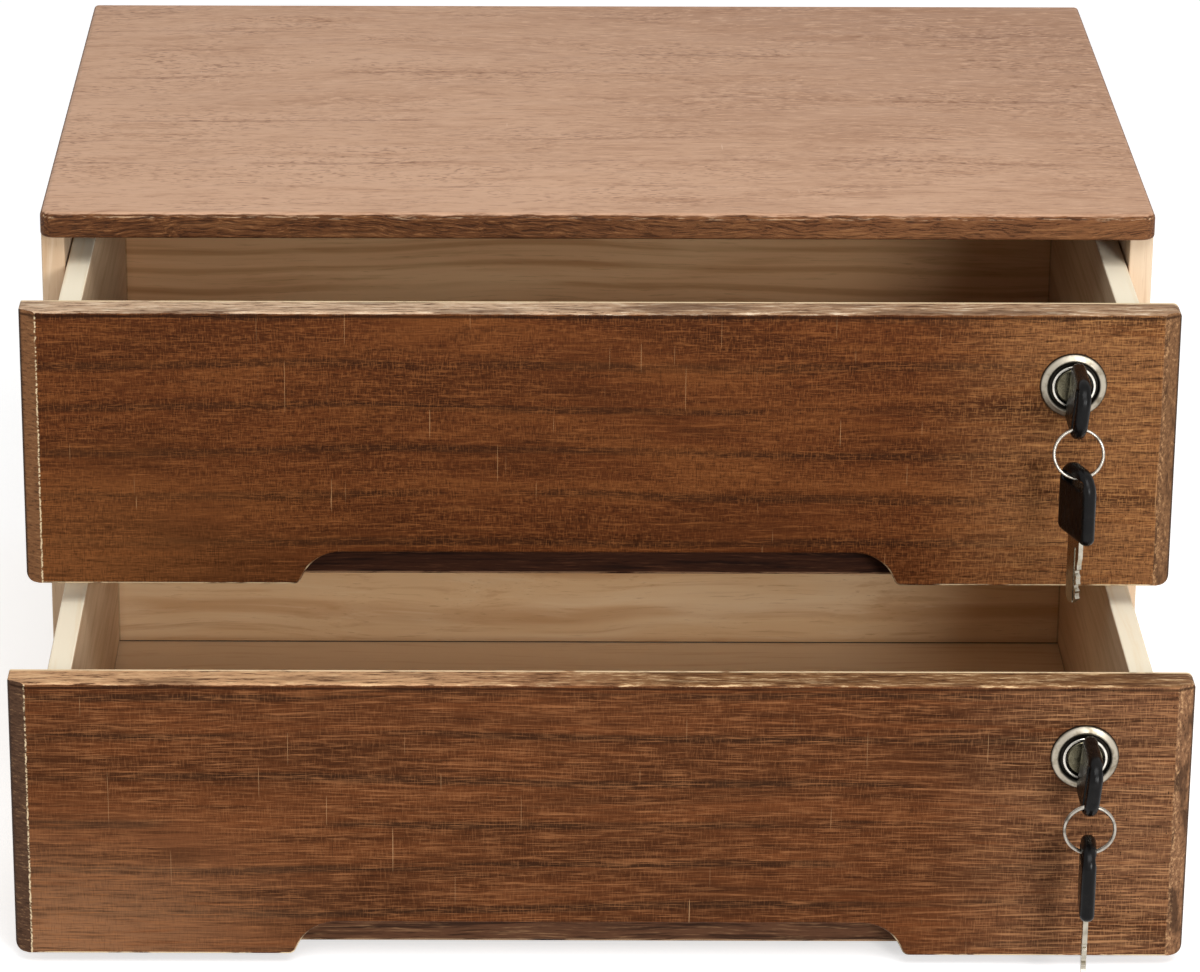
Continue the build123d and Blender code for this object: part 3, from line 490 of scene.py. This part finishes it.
def shadeJoints(tree, place, look, colour):
    # Painted shadow, only on faces that are turned towards the lower drawer's floor, and on each drawer's own
    # joints
    middle = sum(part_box("lower_box_bottom"), Vector()) / 2
    inward = addNode(tree, "VectorMath", middle, place, operation="SUBTRACT")
    normal = addNode(tree, "TexCoord", out="Normal")
    inward = addNode(tree, "VectorMath", inward, normal, operation="DOT_PRODUCT", out="Value")
    inside = (inward, 0.0, 1.0 * mm)
    for axis, piece, end, depth in look["joints"]:
        for level in levels:
            low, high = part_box(level + "_box_back")
            own = near(tree, place, "Z", (low.z + high.z) / 2, jointShadow["drawerHalfMm"], softMm=1.0)
            joint = getattr(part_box(level + piece)[end], axis.lower())
            shade = near(tree, place, axis, joint, *jointShadow["shadeMm"])
            line = near(tree, place, axis, joint, *jointShadow["lineMm"])
            # Painted shade beside each joint, and a painted shadow line in it
            colour = coat(tree, colour, look["fibre"], 0.4 * depth, shade, own, inside)
            colour = coat(tree, colour, jointShadow["colour"], depth, line, own, inside)
    return colour


def paleMaterial(name, look):
    material, tree, shader = newMaterial(name, IOR=1.5, Specular_IOR_Level=0.12)
    way, seed = look["grain"], look["seed"]
    place = addNode(tree, "TexCoord", out="Object")
    bent = wandering(tree, place, way, drawnOut(way, *look["bendMm"]), look["swingMm"], seed)
    curled = wandering(tree, bent, way, drawnOut(way, *look["curlMm"]), look["curlSwingMm"], 3.0 + seed)
    patches = clouds(tree, bent, drawnOut(way, *look["patchMm"]), 2.0 + seed, detail=3.0)
    figure = clouds(tree, curled, drawnOut(way, *look["figureMm"]), 4.0 + seed, detail=3.0, roughness=0.6)
    fibres = clouds(tree, curled, drawnOut(way, *look["fibreMm"]), 6.0 + seed, detail=3.0, roughness=0.7)
    ring = growthRings(tree, curled, look["across"], look["ringMm"], look["ringAtMm"])
    colour = coat(tree, linear(look["face"]), look["light"], 0.7, (patches, 0.45, 0.65))
    colour = coat(tree, colour, look["ring"], look["ringDepth"], (ring, 0.2, 1.0), (patches, 0.7, 0.4))
    colour = coat(tree, colour, look["ring"], 0.4, (figure, 0.5, 0.7))
    colour = coat(tree, colour, look["light"], 0.4, (figure, 0.46, 0.3))
    colour = coat(tree, colour, look["fibre"], 0.35, (fibres, 0.57, 0.72))
    if "knot" in look:
        # Right through the board, and a little longer along the grain
        radius = look["knotMm"] * mm
        away = fromPoint(tree, curled, [at * mm for at in look["knotAtMm"]], (0.6, 0.0, 1.0))
        colour = coat(tree, colour, look["knot"], 0.75, (away, radius, 0.3 * radius))
    if look["joints"]:
        colour = shadeJoints(tree, place, look, colour)
    # Faces that look up take the edge colours; on the drawer sides and backs these are much paler: painted
    # light from above
    edge = coat(tree, linear(look["edge"]), look["edgeShade"], 0.5, (figure, 0.5, 0.72))
    colour = coat(tree, colour, edge, 1.0, facing(tree, "Z", 0.5, 0.8))
    finish(tree, shader, colour, fibres, look, (fibres, "fibreReliefMm"), (figure, "figureReliefMm"))
    return material


for name, look in paleBoards.items():
    give(paleMaterial(name, {**paleWood, **look}), *look["on"])
print("pale boards done")


# Lock, key and fastener metals: nearly even, with faint cloudy tarnish and polishing marks that soften the
# shine, drawn coarser than real ones. Grooves are dark rings round a lock's axis, painted shadow in the gaps
# and
# steps between its parts: radius, half width and soft border, in mm.
metalSkin = {
    "cloudMm": (3.0, 3.0, 3.0), "marksMm": 0.4, "marksReliefMm": 0.004, "grooveShadow": "#0c0a08", "grooves": [],
}
metals = {
    "satinNickelTrim": {
        "face": "#ada494", "tarnish": "#6c614e", "rough": (0.34, 0.46), "depth": 0.8, "marksMm": 0.5,
        "grooves": [(7.6, 0.6, 1.3), (11.4, 0.2, 0.9)], "on": ["lock_trim_ring"],
    },
    "nickelPlatedHousing": {
        "face": "#e8e2d6", "tarnish": "#6a6149", "rough": (0.2, 0.32), "depth": 0.4,
        "grooves": [(7.35, 0.1, 0.1), (6.25, 0.2, 0.15)], "on": ["lock_housing"],
    },
    "nickelPlatedPlug": {
        "face": "#8f8870", "tarnish": "#4c4530", "rough": (0.2, 0.32), "depth": 0.6,
        "grooves": [(5.55, 0.02, 0.12)], "on": ["lock_plug"],
    },
    "nickelPlatedZinc": {
        "face": "#b0a99a", "tarnish": "#544a3a", "rough": (0.15, 0.27), "depth": 0.42,
        "on": ["lock_nut", "key_blade", "spare_key_blade"],
    },
    "brightNickelWire": {
        "face": "#aaa398", "tarnish": "#4c453a", "rough": (0.22, 0.34), "depth": 0.8,
        "on": ["key_ring"],
    },
    "zincPlatedSteel": {
        "face": "#a9a8a3", "tarnish": "#6f6d66", "rough": (0.38, 0.5), "depth": 0.4,
        "on": ["box_brads", "front_screws", "lock_stop_washer", "lock_cam", "lock_cam_screw"],
    },
    "plainBrass": {
        "face": "#b9924a", "tarnish": "#7a5a28", "rough": (0.3, 0.42), "depth": 0.4,
        "on": ["lock_wafers"],
    },
}


def metalMaterial(name, look):
    material, tree, shader = newMaterial(name, Metallic=1.0)
    place = addNode(tree, "TexCoord", out="Object")
    tarnish = clouds(tree, place, look["cloudMm"], 1.0, detail=3.0)
    marks = clouds(tree, place, (look["marksMm"],) * 3, 5.0)
    colour = coat(tree, linear(look["face"]), look["tarnish"], look["depth"], (tarnish, 0.45, 0.75))
    for level in levels if look["grooves"] else ():
        axisPoint = sum(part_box(level + "_lock_trim_ring"), Vector()) / 2
        radius = fromPoint(tree, place, axisPoint, (1.0, 0.0, 1.0))
        for groove, half, soft in look["grooves"]:
            off = addNode(tree, "Math", radius, groove * mm, operation="SUBTRACT")
            off = addNode(tree, "Math", off, operation="ABSOLUTE")
            # Painted shadow in each groove
            colour = coat(tree, colour, look["grooveShadow"], 0.95, between(off, (half + soft, half)))
    finish(tree, shader, colour, tarnish, look, (marks, "marksReliefMm"))
    return material


for name, look in metals.items():
    pieces = [level + "_" + piece for level in levels for piece in look["on"]]
    give(metalMaterial(name, {**metalSkin, **look}), *pieces)
give(bpy.data.materials["zincPlatedSteel"], "shelf_brads", "base_brads", "back_brads")
print("metals done")


# Key heads: black ABS, moulded, glossy from handling, with fine upright scuffs and a grained skin that is
# drawn coarser than the real one, so that it shows
keyHead = {
    "face": "#080707", "worn": "#141211", "rough": (0.2, 0.36), "cloudMm": (5.0, 5.0, 5.0),
    "skinMm": (0.6, 0.6, 0.6), "skinReliefMm": 0.006, "scuffMm": (0.5, 6.0, 6.0), "scuffReliefMm": 0.01,
}


def keyHeadMaterial(look):
    material, tree, shader = newMaterial("blackMouldedAbs", IOR=1.54, Specular_IOR_Level=0.11)
    place = addNode(tree, "TexCoord", out="Object")
    cloud = clouds(tree, place, look["cloudMm"], 2.0, detail=3.0)
    skin = clouds(tree, place, look["skinMm"], 7.0)
    scuffs = clouds(tree, place, look["scuffMm"], 3.0)
    colour = coat(tree, linear(look["face"]), look["worn"], 0.8, (cloud, 0.45, 0.7))
    finish(tree, shader, colour, scuffs, look, (skin, "skinReliefMm"), (scuffs, "scuffReliefMm"))
    return material


heads = [level + piece for level in levels for piece in ("_key_head", "_spare_key_head")]
give(keyHeadMaterial(keyHead), *heads)
print("key heads done")


# Pale painted floor, white world, one big soft light above and one in front at the right: metres and watts
studio = {
    "floorHalf": 4.0, "floorColour": "#e9e9e9", "floorLift": 0.55, "skyColour": "#f6f6f6", "skyStrength": 0.5,
}
lamps = {
    "softboxAbove": {"at": (0.25, -1.15, 1.45), "aim": (0.0, -0.1, 0.1), "size": (1.0, 0.8), "watts": 14.0},
    "softboxFront": {"at": (0.85, -2.2, 0.78), "aim": (0.0, -0.1, 0.1), "size": (0.55, 0.55), "watts": 25.0},
}
# Fitted to the photograph: its place in metres, its turn about X, Y and Z in degrees, its lens in mm
productCamera = {
    "at": (-0.03401, -1.81199, 0.76708), "turn": (68.8511, -0.0834, 0.1853),
    "lens": 155.857, "sensor": 36.0, "shiftX": 0.0967,
}


def seenStraight(tree):
    # 1 for a ray that sees the surroundings from the camera, in a reflection or through glass
    seen = 0.0
    for ray in ("Camera", "Glossy", "Transmission"):
        isRay = addNode(tree, "LightPath", out="Is %s Ray" % ray)
        seen = addNode(tree, "Math", isRay, seen, operation="MAXIMUM")
    return seen


def makeWorld(look):
    world = bpy.data.worlds.new("studioWorld")
    bpy.context.scene.world = world
    world.use_nodes = True
    tree = world.node_tree
    tree.nodes.clear()
    sky = addNode(tree, "Background", linear(look["skyColour"]), look["skyStrength"])
    white = addNode(tree, "Background", (1.0, 1.0, 1.0, 1.0), 1.0)
    output = tree.nodes.new("ShaderNodeOutputWorld")
    tree.links.new(addNode(tree, "MixShader", seenStraight(tree), sky, white), output.inputs[0])


def makeFloor(look):
    mesh = bpy.data.meshes.new("studioFloor")
    shape = bmesh.new()
    bmesh.ops.create_grid(shape, x_segments=1, y_segments=1, size=look["floorHalf"])
    shape.to_mesh(mesh)
    shape.free()
    floor = bpy.data.objects.new("studioFloor", mesh)
    bpy.context.scene.collection.objects.link(floor)
    # Only straight rays see the added white, so the floor shows white with the object's soft shadow on it
    fixed = {"Base_Color": linear(look["floorColour"]), "Roughness": 0.9, "Specular_IOR_Level": 0.0}
    material, tree, shader = newMaterial("paintedFloor", Emission_Color=(1.0, 1.0, 1.0, 1.0), **fixed)
    lift = addNode(tree, "Math", seenStraight(tree), look["floorLift"], operation="MULTIPLY")
    tree.links.new(lift, shader.inputs["Emission Strength"])
    mesh.materials.append(material)


def makeLamp(name, look):
    light = bpy.data.lights.new(name, "AREA")
    light.shape = "RECTANGLE"
    light.size, light.size_y = look["size"]
    light.energy = look["watts"]
    lamp = bpy.data.objects.new(name, light)
    bpy.context.scene.collection.objects.link(lamp)
    lamp.location = look["at"]
    lamp.rotation_euler = (Vector(look["aim"]) - Vector(look["at"])).to_track_quat("-Z", "Y").to_euler()


def makeCamera(look):
    data = bpy.data.cameras.new("productCamera")
    data.sensor_fit = "HORIZONTAL"
    data.sensor_width = look["sensor"]
    data.lens = look["lens"]
    data.shift_x = look["shiftX"]
    view = bpy.data.objects.new("productCamera", data)
    bpy.context.scene.collection.objects.link(view)
    turn = Euler([math.radians(angle) for angle in look["turn"]])
    view.matrix_world = Matrix.LocRotScale(Vector(look["at"]), turn, None)
    bpy.context.scene.camera = view


makeWorld(studio)
makeFloor(studio)
for name, look in lamps.items():
    makeLamp(name, look)
makeCamera(productCamera)
bpy.context.scene.view_settings.view_transform = "Standard"
print("studio done")
